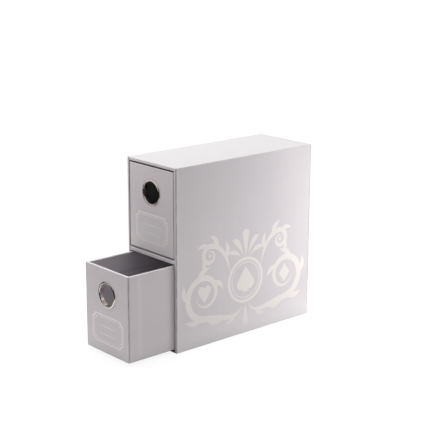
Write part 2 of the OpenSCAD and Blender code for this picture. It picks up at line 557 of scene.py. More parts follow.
@dataclass(frozen=True)
class PrintInk(Finish):
    """The warm light ink of the printed ornaments, a shade paler than the paper."""

    name: str = "print_ink"
    colour: Colour = (0.735, 0.692, 0.672)

    def _paint(self, shader: Shader) -> None:
        """Makes a thin uneven film.

        Args:
            shader: the material's shader.
        """
        cloud = shader.noise(420, (1, 1, 1), 3)
        shade = shader.vary(cloud, self.colour, 0.965, 1.035)
        shader.set(Base_Color=shade, Roughness=0.42 + cloud * 0.08, IOR=1.45)
        shader.relief(shader.noise(2400, (1, 1, 0.5), 3), 0.015 * MM)


@dataclass(frozen=True)
class LabelInk(PrintInk):
    """The ink of the labels, a shade paler still."""

    name: str = "label_ink"
    colour: Colour = (0.800, 0.748, 0.722)


@dataclass(frozen=True)
class LiningPaper(Finish):
    """Plain silver-grey paper, a little cooler than the printed one, with a fine tooth.

    In a drawer, front is where the drawer begins along Y, and strip the height of a thin darker line
    on its walls. There the lining is painted paler in front and painted darker further back, as
    painted light and painted shade.
    """

    name: str = "lining_paper"
    front: Optional[float] = None
    strip: float = 0.0
    # painted light in front and painted shade further back: where they start, how strong they are
    painted_light_to: float = 28 * MM
    painted_shade_from: float = 115 * MM
    painted_light_strength: float = 0.34
    painted_shade_share: float = 0.52
    colour: Colour = (0.595, 0.560, 0.600)
    # lighter tone of the painted light at the front
    painted_light: Colour = (0.820, 0.790, 0.810)
    # darker tone of the painted shade further back
    deep: Colour = (0.300, 0.275, 0.305)

    def _painted_shading(self, shader: Shader, shade: Signal, front: float) -> Signal:
        """Adds the painted light in front, the painted shade further back and the thin line at strip.

        Args:
            shader: the material's shader.
            shade: its colour so far.
            front: where the drawer begins along Y.

        Returns:
            The colour with its painted light and shade.
        """
        _, y, z = shader.axes()
        # painted shade: paler near the front and darker further in, as light falls into the drawer
        deep = y.ramp(front + self.painted_light_to, front + self.painted_shade_from)
        shade = shader.tint(deep, shader.tint(self.painted_light_strength, shade, self.painted_light),
                            shader.tint(self.painted_shade_share, shade, self.deep))
        # a thin darker line at the height strip, fainter further in
        edge = abs(z - self.strip).ramp(0.7 * MM, 0.4 * MM)
        return shader.tint(edge * (0.5 - deep * 0.3), shade, self.deep)

    def _paint(self, shader: Shader) -> None:
        """Makes the paper's tooth and flecks, and in a drawer its painted light and shade.

        Args:
            shader: the material's shader.
        """
        tooth = shader.noise(2100, (1, 1, 1), 4)
        cloud = shader.noise(60, (1, 1, 1), 2)
        fleck = shader.noise(760, (1, 0.4, 1), 3).ramp(0.64, 0.72)
        shade = shader.vary(cloud * 0.6 + tooth * 0.4, self.colour, 0.94, 1.06)
        if self.front is not None:
            shade = self._painted_shading(shader, shade, self.front)
        shader.set(Base_Color=shader.tint(fleck * 0.3, shade, strong(self.colour, 1.25)),
                   Roughness=0.52 + tooth * 0.16, IOR=1.45)
        shader.relief(tooth, 0.05 * MM)


@dataclass(frozen=True)
class GreyBoard(Finish):
    """Raw recycled board: layered brown-grey fibre with dark and pale flecks."""

    name: str = "grey_board"
    colour: Colour = (0.300, 0.272, 0.235)

    def _paint(self, shader: Shader) -> None:
        """Makes the fibre and its flecks.

        Args:
            shader: the material's shader.
        """
        fibre = shader.noise(1500, (0.35, 0.35, 1), 5)
        dark = shader.noise(520, (1, 0.5, 1), 3).ramp(0.60, 0.70)
        pale = shader.noise(680, (0.5, 1, 1), 3).ramp(0.62, 0.72)
        shade = shader.vary(fibre, self.colour, 0.8, 1.2)
        for flecks, strength in ((dark, 0.4), (pale, 1.8)):
            shade = shader.tint(flecks * 0.5, shade, strong(self.colour, strength))
        shader.set(Base_Color=shade, Roughness=0.85 + fibre * 0.1, IOR=1.4)
        shader.relief(fibre, 0.12 * MM)


@dataclass(frozen=True)
class PolishedNickel(Finish):
    """Bright warm nickel plate with hairline scratches and a little haze."""

    name: str = "polished_nickel"
    colour: Colour = (0.740, 0.660, 0.605)

    def _paint(self, shader: Shader) -> None:
        """Makes the plate with its haze and scratches.

        Args:
            shader: the material's shader.
        """
        haze = shader.noise(260, (1, 1, 1), 3)
        hairline = shader.noise(1400, (1, 6, 0.5), 4)
        shade = shader.vary(haze, self.colour, 0.94, 1.05)
        shader.set(Base_Color=shade, Metallic=1.0, Roughness=0.04 + haze * 0.05 + hairline * 0.03)
        shader.relief(hairline, 0.004 * MM)


def span(ends: Sequence[Vector]) -> tuple[Vector, Vector]:
    """The middle and the direction of an edge between two points."""
    return (ends[0] + ends[1]) / 2, (ends[1] - ends[0]).normalized()


class Edit:
    """Edit mode on one piece, with its faces and edges chosen by their place."""

    def __init__(self, piece: bpy.types.Object) -> None:
        """Keeps the piece to be edited."""
        self.piece = piece

    def __enter__(self) -> "Edit":
        """Opens edit mode with nothing selected.

        Returns:
            This edit.
        """
        only(self.piece)
        bpy.ops.object.mode_set(mode="EDIT")
        bpy.ops.mesh.select_all(action="DESELECT")
        return self

    def __exit__(self, *failure: Any) -> None:
        """Goes back to object mode."""
        bpy.ops.object.mode_set(mode="OBJECT")

    def _select(self, kind: str, describe: Callable[[Any], tuple[Vector, Vector]], test: Test) -> None:
        """Selects the faces or the edges that pass a test.

        Args:
            kind: FACE or EDGE.
            describe: gives the two vectors that the test takes.
            test: the test.
        """
        bpy.ops.mesh.select_mode(type=kind)
        bpy.ops.mesh.select_all(action="DESELECT")
        mesh = bmesh.from_edit_mesh(self.piece.data)
        for part in mesh.faces if kind == "FACE" else mesh.edges:
            part.select_set(test(*describe(part)))
        bmesh.update_edit_mesh(self.piece.data)

    def faces(self, test: Test) -> None:
        """Selects the faces that pass a test of their centre and normal."""
        self._select("FACE", lambda face: (face.calc_center_median(), face.normal), test)

    def edges(self, test: Test) -> None:
        """Selects the edges that pass a test of their middle and direction."""
        self._select("EDGE", lambda edge: span([end.co for end in edge.verts]), test)

    def cut(self, test: Test, levels: Sequence[float]) -> None:
        """Cuts the faces that pass a test at some heights.

        Args:
            test: takes a face's centre and normal.
            levels: the heights.
        """
        for level in levels:
            self.faces(test)
            bpy.ops.mesh.bisect(plane_co=(0, 0, level), plane_no=(0, 0, 1), use_fill=False)

    def push(self, move: Sequence[float]) -> None:
        """Extrudes the selected faces by a move."""
        bpy.ops.mesh.extrude_region_move(TRANSFORM_OT_translate={"value": move})

    def turn_out(self) -> None:
        """Turns every face outwards."""
        bpy.ops.mesh.select_all(action="SELECT")
        bpy.ops.mesh.normals_make_consistent(inside=False)

    def clean(self) -> None:
        """Merges doubles and turns every face outwards."""
        bpy.ops.mesh.select_all(action="SELECT")
        bpy.ops.mesh.remove_doubles(threshold=1e-6)
        self.turn_out()


def only(piece: bpy.types.Object) -> None:
    """Selects one object alone and makes it active.

    Args:
        piece: the object.
    """
    bpy.ops.object.select_all(action="DESELECT")
    piece.select_set(True)
    bpy.context.view_layer.objects.active = piece


def primitive(add: Callable[..., Any], name: str, **settings: Any) -> bpy.types.Object:
    """Adds one of Blender's own meshes.

    Args:
        add: the operator that adds it.
        name: the new object's name.
        settings: the operator's settings.

    Returns:
        The new object.
    """
    bpy.ops.object.select_all(action="DESELECT")
    add(**settings)
    piece = bpy.context.active_object
    piece.name = piece.data.name = name
    return piece


def block(name: str, low: Vector, high: Vector) -> bpy.types.Object:
    """Adds a box between two corners, with its place in its mesh.

    Args:
        name: the piece's name.
        low: its lowest corner.
        high: its highest corner.

    Returns:
        The new object.
    """
    piece = primitive(bpy.ops.mesh.primitive_cube_add, name, size=1, location=(low + high) / 2,
                      scale=high - low)
    bpy.ops.object.transform_apply(location=True, rotation=True, scale=True)
    return piece


def modify(piece: bpy.types.Object, kind: str, **settings: Any) -> None:
    """Adds a modifier, sets it and applies it.

    Args:
        piece: the piece it works on.
        kind: the modifier's type.
        settings: its settings.
    """
    only(piece)
    bpy.ops.object.modifier_add(type=kind)
    modifier = piece.modifiers[-1]
    for key, value in settings.items():
        setattr(modifier, key, value)
    bpy.ops.object.modifier_apply(modifier=modifier.name)


def round_edges(piece: bpy.types.Object, radius: Callable[[Vector, Vector], float],
                steps: int = 4) -> None:
    """Rounds each edge to its own radius.

    Args:
        piece: the piece.
        radius: gives an edge's radius from its middle and direction.
        steps: faces across each rounding.
    """
    mesh = piece.data
    radii = [radius(*span([mesh.vertices[i].co for i in edge.vertices])) for edge in mesh.edges]
    widest = max(radii)
    weights = mesh.attributes.new("bevel_weight_edge", "FLOAT", "EDGE")
    weights.data.foreach_set("value", [r / widest for r in radii])
    modify(piece, "BEVEL", limit_method="WEIGHT", width=widest, segments=steps, use_clamp_overlap=True)


def give_thickness(piece: bpy.types.Object, thickness: float, outwards: bool = False) -> None:
    """Turns an open surface into a closed sheet.

    Args:
        piece: the open surface, its faces outwards.
        thickness: the sheet's thickness.
        outwards: whether it thickens outwards, and not inwards.
    """
    modify(piece, "SOLIDIFY", thickness=thickness, offset=1.0 if outwards else -1.0,
           use_even_offset=True, use_quality_normals=True)


def smooth(piece: bpy.types.Object, angle: float = 35.0) -> None:
    """Shades round faces smooth and keeps flat ones flat.

    Args:
        piece: the piece.
        angle: edges sharper than this many degrees stay sharp.
    """
    only(piece)
    bpy.ops.object.shade_smooth_by_angle(angle=math.radians(angle), keep_sharp_edges=True)
    modify(piece, "WEIGHTED_NORMAL", mode="FACE_AREA", weight=80, keep_sharp=True)


def cut_hole(piece: bpy.types.Object, centre: Vector, radius: float, depth: float) -> None:
    """Cuts a round hole along Y.

    Args:
        piece: the piece that gets the hole.
        centre: the middle of the cut.
        radius: the hole's radius.
        depth: the cut's length along Y.
    """
    cutter = primitive(bpy.ops.mesh.primitive_cylinder_add, "cutter", vertices=64, radius=radius,
                       depth=depth, location=centre, rotation=(math.pi / 2, 0, 0))
    modify(piece, "BOOLEAN", operation="DIFFERENCE", solver="EXACT", object=cutter)
    bpy.data.objects.remove(cutter)


def dress(piece: bpy.types.Object, material: bpy.types.Material) -> None:
    """Gives a piece one material in place of those it has."""
    piece.data.materials.clear()
    piece.data.materials.append(material)


def place(piece: bpy.types.Object, material: bpy.types.Material, body: str,
          nodes: Sequence[str] = ()) -> None:
    """Dresses a finished piece, hands it to the frame and reports it.

    Args:
        piece: the piece.
        material: its material.
        body: the body that it rides on.
        nodes: the nodes that it stands for.
    """
    dress(piece, material)
    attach(piece, body)
    if nodes:
        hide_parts(*nodes)
    log.info("%s on %s: %d faces", piece.name, body, len(piece.data.polygons))


@dataclass
class Sheet:
    """A flat sheet with rounded corners, glued to a flat face."""

    name: str
    low: Vector
    high: Vector
    corner: float = 2.0 * MM
    rim_share: float = 0.35

    def build(self) -> bpy.types.Object:
        """Models the sheet.

        Returns:
            The piece, closed and smooth.
        """
        piece = block(self.name, self.low, self.high)
        size = self.high - self.low
        thin = min(range(3), key=lambda i: size[i])
        rim = min(size) * self.rim_share
        round_edges(piece, lambda middle, way: self.corner if abs(way[thin]) > ALONG else 0.0, 5)
        with Edit(piece) as edit:
            edit.clean()
        piece.data.attributes.remove(piece.data.attributes["bevel_weight_edge"])
        centre = (self.low + self.high) / 2

        def border(middle: Vector, way: Vector) -> float:
            """Rounds the border of both faces."""
            off = abs(middle[thin] - centre[thin]) > size[thin] * 0.45
            return rim if off and abs(way[thin]) < ACROSS else 0.0

        round_edges(piece, border, 2)
        smooth(piece)
        return piece


@dataclass
class Lining:
    """A box of lining paper, open on one side, with softly rounded inside corners."""

    name: str
    low: Vector
    high: Vector
    way: Way
    corner: float = 0.9 * MM

    def build(self) -> bpy.types.Object:
        """Models the lining round the clear space between its two corners.

        Returns:
            The piece, closed and smooth.
        """
        piece = block(self.name, self.low, self.high)
        out = Vector(self.way.value)
        mouth = max(self.low.dot(out), self.high.dot(out))
        with Edit(piece) as edit:
            edit.faces(lambda centre, normal: normal.dot(out) > ALONG)
            bpy.ops.mesh.delete(type="FACE")

        def corners(middle: Vector, way: Vector) -> float:
            """Rounds every edge but those of the open side."""
            is_open = middle.dot(out) > mouth - MM and abs(way.dot(out)) < ACROSS
            return 0.0 if is_open else self.corner

        round_edges(piece, corners, 3)
        give_thickness(piece, PAPER, outwards=True)
        smooth(piece)
        return piece


@dataclass
class FingerRing:
    """A metal finger ring: a bead in front, a barrel through the wall and a curl behind.

    The flank is how far the bead's crest lies outside the barrel.
    """

    name: str
    centre: Vector
    hole: float = 12.2 * MM
    metal: float = 0.5 * MM
    bead: float = 1.05 * MM
    flank: float = 0.75 * MM
    outer: float = 14.7 * MM
    curl: float = 0.9 * MM
    length: float = 3.7 * MM
    turns: int = 96
    steps: int = 12

    def _section(self) -> list[Point]:
        """Draws the middle line of the sheet metal.

        Returns:
            Its points, as radius and depth behind the front face.
        """
        wall, rim = self.hole + self.metal / 2, self.outer - self.metal / 2
        rise, curl_r = self.bead - self.metal / 2, self.curl - self.metal / 2
        crest = wall + self.flank
        line = []
        for i in range(self.steps + 1):
            turn = math.pi * i / self.steps
            reach = rim - crest if 2 * i < self.steps else self.flank
            line.append((crest + reach * math.cos(turn), -rise * math.sin(turn)))
        for i in range(1, 4):
            line.append((wall, self.length * i / 4))
        for i in range(self.steps + 1):
            turn = math.pi * i / self.steps
            line.append((wall + curl_r * (1 - math.cos(turn)), self.length + curl_r * math.sin(turn)))
        return line

    def build(self) -> bpy.types.Object:
        """Models the ring by spinning its section round its axis.

        Returns:
            The piece, closed and smooth.
        """
        line = self._section()
        piece = primitive(bpy.ops.mesh.primitive_plane_add, self.name, size=self.metal,
                          location=self.centre + Vector((*line[0], 0)))
        bpy.ops.object.transform_apply(location=True, rotation=True, scale=True)
        with Edit(piece) as edit:
            bpy.ops.mesh.select_mode(type="VERT")
            bpy.ops.mesh.select_all(action="SELECT")
            bpy.ops.mesh.merge(type="CENTER")
            for (r0, y0), (r1, y1) in zip(line, line[1:]):
                step = (r1 - r0, y1 - y0, 0)
                bpy.ops.mesh.extrude_vertices_move(TRANSFORM_OT_translate={"value": step})
            bpy.ops.mesh.select_all(action="SELECT")
            bpy.ops.mesh.spin(steps=self.turns, angle=math.tau, center=self.centre, axis=(0, 1, 0))
            edit.clean()
        modify(piece, "SOLIDIFY", thickness=self.metal, offset=0.0, use_even_offset=True)
        with Edit(piece) as edit:
            edit.clean()
        smooth(piece, 60)
        return piece


def polar(centre: Point, radius: float, angle: float) -> Point:
    """The point at a distance from a centre, in the direction of an angle in radians."""
    return centre[0] + radius * math.cos(angle), centre[1] + radius * math.sin(angle)


def sweep(*controls: Point, steps: int = 32) -> list[Point]:
    """Points of a smooth curve.

    Args:
        controls: its two ends, with the points that draw it aside between them.
        steps: how many pieces it is divided into.

    Returns:
        The points, from the first control to the last.
    """
    points = []
    for i in range(steps + 1):
        share = i / steps
        line = list(controls)
        while len(line) > 1:
            line = [((1 - share) * a[0] + share * b[0], (1 - share) * a[1] + share * b[1])
                    for a, b in zip(line, line[1:])]
        points.append(line[0])
    return points


def spiral(eye: Point, outer: float, inner: float, start: float, turns: float) -> list[Point]:
    """Points of a spiral that winds inwards.

    Args:
        eye: its centre.
        outer: the radius where it starts.
        inner: the radius where it ends.
        start: the angle where it starts, in degrees.
        turns: how many turns it makes, negative for clockwise.

    Returns:
        The points, from the outside in.
    """
    count = round(abs(turns) * 40)
    points = []
    for i in range(count + 1):
        turn = math.radians(start) + math.tau * turns * i / count
        points.append(polar(eye, outer * (inner / outer) ** (i / count), turn))
    return points


@dataclass
class Stroke:
    """One line of a print: the points that it follows and its width at each of them."""

    points: list[Point]
    widths: list[float]
    closed: bool = False

    @classmethod
    def ring(cls, centre: Point, radius: float, width: float) -> "Stroke":
        """A circle of even width.

        Args:
            centre: its centre.
            radius: its radius.
            width: the line's width.

        Returns:
            The closed stroke.
        """
        points = [polar(centre, radius, math.tau * i / 72) for i in range(72)]
        return cls(points, [width] * len(points), closed=True)

    @classmethod
    def swelling(cls, points: list[Point], width: float, peak: float = 0.5,
                 tip: float = 0.08) -> "Stroke":
        """A line that is thin at both ends.

        Args:
            points: the points that it follows.
            width: its greatest width.
            peak: the share of its way at which it is widest.
            tip: its width at the ends, as a share of the greatest.

        Returns:
            The stroke.
        """
        last = len(points) - 1
        lean = math.log(0.5) / math.log(peak)
        shares = [math.sin(math.pi * (i / last) ** lean) for i in range(last + 1)]
        return cls(points, [width * max(tip, share) for share in shares])

    @classmethod
    def drop(cls, tip: Point, centre: Point, radius: float) -> "Stroke":
        """A drop with a sharp tip and a round end.

        Args:
            tip: its tip.
            centre: the centre of its round end.
            radius: the radius there.

        Returns:
            The stroke.
        """
        length = math.dist(tip, centre)
        side = math.sqrt(length ** 2 - radius ** 2)
        way = ((centre[0] - tip[0]) / length, (centre[1] - tip[1]) / length)
        points, widths = [], []
        for i in range(25):
            run = (length + radius) * math.sin(math.pi / 2 * i / 24)
            if run < side ** 2 / length:
                half = run * radius / side
            else:
                half = math.sqrt(max(0.0, radius ** 2 - (run - length) ** 2))
            points.append((tip[0] + way[0] * run, tip[1] + way[1] * run))
            widths.append(2 * half)
        return cls(points, widths)

    @classmethod
    def disc(cls, centre: Point, radius: float) -> "Stroke":
        """A round dot.

        Args:
            centre: its centre.
            radius: its radius.

        Returns:
            The stroke.
        """
        turns = [math.pi * i / 16 for i in range(17)]
        return cls([(centre[0] - radius * math.cos(t), centre[1]) for t in turns],
                   [2 * radius * math.sin(t) for t in turns])

    def leaf(self, share: float, length: float, width: float, lean: float, curl: float) -> "Stroke":
        """A leaf that grows from this line.

        Args:
            share: how far along the line it grows.
            length: its length.
            width: its greatest width.
            lean: the angle that it leaves the line at, in degrees.
            curl: the angle that it curls by, in degrees.

        Returns:
            The leaf's stroke.
        """
        i = round(share * (len(self.points) - 1))
        before, root, after = self.points[i - 1:i + 2]
        first = math.atan2(after[1] - before[1], after[0] - before[0]) + math.radians(lean)
        second = first + math.radians(curl)
        reach = 0.55 * length
        middle = polar(root, reach, first)
        return Stroke.swelling(sweep(root, middle, polar(middle, reach, second), steps=16), width, 0.42)

    def mirrored(self) -> "Stroke":
        """The same stroke on the other side of the middle."""
        return Stroke([(-u, v) for u, v in self.points], self.widths, self.closed)


class Suit(Enum):
    """The card suits of the ornament, each drawn as a few strokes."""

    HEART = "heart"
    DIAMOND = "diamond"
    SPADE = "spade"

    def strokes(self, centre: Point, size: float) -> list[Stroke]:
        """Draws the suit's pip.

        Args:
            centre: where it stands.
            size: half its height.

        Returns:
            Its strokes.
        """
        def at(u: float, v: float) -> Point:
            """A place in the pip."""
            return centre[0] + u * size, centre[1] + v * size

        def lobes(up: int) -> list[Stroke]:
            """Two round lobes that share a tip."""
            return [Stroke.drop(at(0, -up), at(u, up * 0.42), 0.5 * size) for u in (-0.44, 0.44)]

        if self is Suit.HEART:
            return lobes(1)
        if self is Suit.DIAMOND:
            heights = [1 - i / 12 for i in range(25)]
            widths = [1.5 * size * (1 - abs(v)) ** 1.12 for v in heights]
            return [Stroke([at(0, v) for v in heights], widths)]
        shares = [i / 8 for i in range(9)]
        widths = [size * (0.16 + 0.62 * share ** 2.5) for share in shares]
        return [*lobes(-1), Stroke([at(0, -0.1 - share) for share in shares], widths)]


@dataclass
class InkPrint:
    """A print made of strokes of ink on a flat face."""

    name: str
    strokes: list[Stroke]
    origin: Vector
    across: Vector
    up: Vector
    finest: float = 0.08 * MM
    shoulder: float = 0.4 * MM

    def build(self) -> bpy.types.Object:
        """Models the ink as thin raised strokes with round shoulders.

        Returns:
            The piece, with its place in its mesh.
        """
        curve = bpy.data.curves.new(self.name, "CURVE")
        curve.dimensions = "3D"
        curve.bevel_depth = 0.5
        curve.bevel_resolution = 2
        curve.use_fill_caps = True
        for stroke in self.strokes:
            line = curve.splines.new("POLY")
            line.points.add(len(stroke.points) - 1)
            for spot, (u, v), width in zip(line.points, stroke.points, stroke.widths):
                spot.co = (u, v, 0, 1)
                spot.radius = max(self.finest, width)
            line.use_cyclic_u = stroke.closed
        piece = bpy.data.objects.new(self.name, curve)
        bpy.context.scene.collection.objects.link(piece)
        only(piece)
        bpy.ops.object.convert(target="MESH")
        out = self.across.cross(self.up)
        for vertex in piece.data.vertices:
            u, v, height = vertex.co
            rise = INK_DEPTH / 2 * height / (abs(height) + self.shoulder)
            vertex.co = self.origin + u * self.across + v * self.up + rise * out
        with Edit(piece) as edit:
            edit.turn_out()
        smooth(piece, 50)
        return piece


@dataclass
class LabelPrint:
    """A plain write-on label: a double frame with scooped corners and two ruled lines."""

    name: str
    centre: Vector
    width: float = 53.0 * MM
    height: float = 31.0 * MM
    scoop: float = 4.5 * MM
    gap: float = 2.4 * MM
    outer_line: float = 1.8 * MM
    inner_line: float = 0.8 * MM
    rule: float = 36.0 * MM
    rule_shares: tuple[float, float] = (0.11, -0.19)

    def _frame(self, inset: float, line: float) -> Stroke:
        """One line of the frame.

        Args:
            inset: how far it lies inside the label's edge.
            line: the line's width.

        Returns:
            The closed stroke.
        """
        half_w, half_h = self.width / 2 - inset, self.height / 2 - inset
        points = []
        for side_u, side_v, start in ((1, 1, 270), (-1, 1, 0), (-1, -1, 90), (1, -1, 180)):
            for i in range(9):
                turn = math.radians(start - 90 * i / 8)
                points.append(polar((side_u * half_w, side_v * half_h), self.scoop, turn))
        return Stroke(points, [line] * len(points), closed=True)

    def build(self) -> bpy.types.Object:
        """Models the label's print.

        Returns:
            The piece.
        """
        strokes = [self._frame(0, self.outer_line), self._frame(self.gap, self.inner_line)]
        for share in self.rule_shares:
            line = [(self.rule * (i / 20 - 0.5), self.height * share) for i in range(21)]
            strokes.append(Stroke.swelling(line, self.inner_line))
        return InkPrint(self.name, strokes, self.centre, RIGHT, UP).build()


@dataclass
class SidePrint:
    """A traditional scroll ornament with card suits, printed on the case's side.

    A drop is given by the heights of its tip and of its round end over the medallion's centre and
    by its radius, and a leaf by its place on the scroll, its length and width, and the angles that
    it leaves the scroll at and curls by. Both tables are in millimetres and degrees.
    """

    name: str
    foot: Vector
    medal: Point = (0.0, 63 * MM)
    medal_radius: float = 25 * MM
    drops: tuple[tuple[float, float, float], ...] = ((27, 54, 5.0), (-28, -50, 4.2))
    eye: Point = (61 * MM, 58 * MM)
    volute: float = 28 * MM
    volute_end: float = 11.5 * MM
    volute_turns: float = 1.25
    volute_lead: float = 30 * MM
    leaves: tuple[Leaf, ...] = (
        (0.12, 17, 5.4, -42, 60), (0.26, 22, 6.4, -36, 52), (0.40, 24, 6.8, -38, 52),
        (0.50, 22, 6.8, -40, 56), (0.60, 22, 6.4, -42, 58), (0.70, 20, 5.8, -44, 60))
    top_eye: Point = (53 * MM, 101 * MM)
    top_volute: float = 11 * MM
    top_volute_end: float = 4.4 * MM
    top_leaves: tuple[Leaf, ...] = (
        (0.12, 20, 6.0, 52, -60), (0.28, 20, 6.0, 50, -60), (0.42, 17, 5.4, 48, -62),
        (0.56, 15, 5.0, 46, -62))

    def _medallion(self) -> list[Stroke]:
        """Draws the round frame in the middle, its spade and the drops over and under it.

        Returns:
            Their strokes.
        """
        u, v = self.medal
        rings = [Stroke.ring(self.medal, self.medal_radius, 3.4 * MM),
                 Stroke.ring(self.medal, self.medal_radius - 4.4 * MM, 1.2 * MM)]
        drops = [Stroke.drop((u, v + tip * MM), (u, v + end * MM), radius * MM)
                 for tip, end, radius in self.drops]
        return rings + drops + Suit.SPADE.strokes((u, v + 1.5 * MM), 14 * MM)

    def _leaves(self, scroll: Stroke, table: Sequence[Leaf]) -> list[Stroke]:
        """The leaves of one scroll."""
        return [scroll.leaf(share, length * MM, width * MM, lean, curl)
                for share, length, width, lean, curl in table]

    def _main_scroll(self) -> list[Stroke]:
        """Draws the large scroll of one side.

        Returns:
            The scroll and its leaves.
        """
        winding = spiral(self.eye, self.volute, self.volute_end, -90, self.volute_turns)
        slope = math.atan(math.log(self.volute / self.volute_end) / (math.tau * self.volute_turns))
        drawn = polar(winding[0], -self.volute_lead, slope)
        stem = sweep((5 * MM, 34 * MM), (14 * MM, 17 * MM), drawn, winding[0])
        scroll = Stroke.swelling(stem[:-1] + winding, 7.6 * MM, 0.46)
        return [scroll, *self._leaves(scroll, self.leaves)]

    def _top_scroll(self) -> list[Stroke]:
        """Draws the small scroll over it.

        Returns:
            The scroll, the dot in its eye and its leaves.
        """
        winding = spiral(self.top_eye, self.top_volute, self.top_volute_end, 88, -1.15)
        stem = sweep((24 * MM, 78 * MM), (28 * MM, 100 * MM), (40 * MM, 112 * MM), winding[0])
        scroll = Stroke.swelling(stem[:-1] + winding, 6.0 * MM, 0.4, 0.15)
        dot = Stroke.disc(self.top_eye, 2.2 * MM)
        return [scroll, dot, *self._leaves(scroll, self.top_leaves)]

    def _palmette(self) -> list[Stroke]:
        """Draws the two leaves beside the drop over the medallion.

        Returns:
            The tall one and the low one.
        """
        tall = sweep((3 * MM, 91 * MM), (8 * MM, 104 * MM), (14 * MM, 112 * MM), (20 * MM, 112 * MM))
        low = sweep((6 * MM, 90 * MM), (13 * MM, 98 * MM), (20 * MM, 100 * MM), (26 * MM, 97 * MM))
        return [Stroke.swelling(tall, 6.4 * MM, 0.6), Stroke.swelling(low, 5.4 * MM, 0.6)]

    def strokes(self) -> list[Stroke]:
        """Draws the ornament on both sides of its middle.

        Returns:
            Every stroke of it.
        """
        half = self._main_scroll() + self._top_scroll() + self._palmette()
        pips = (Suit.HEART.strokes((-self.eye[0], self.eye[1] + MM), 10 * MM)
                + Suit.DIAMOND.strokes((self.eye[0], self.eye[1] + MM), 11.5 * MM))
        return self._medallion() + half + [stroke.mirrored() for stroke in half] + pips

    def build(self) -> bpy.types.Object:
        """Models the ornament's print."""
        return InkPrint(self.name, self.strokes(), self.foot, BACK, UP).build()


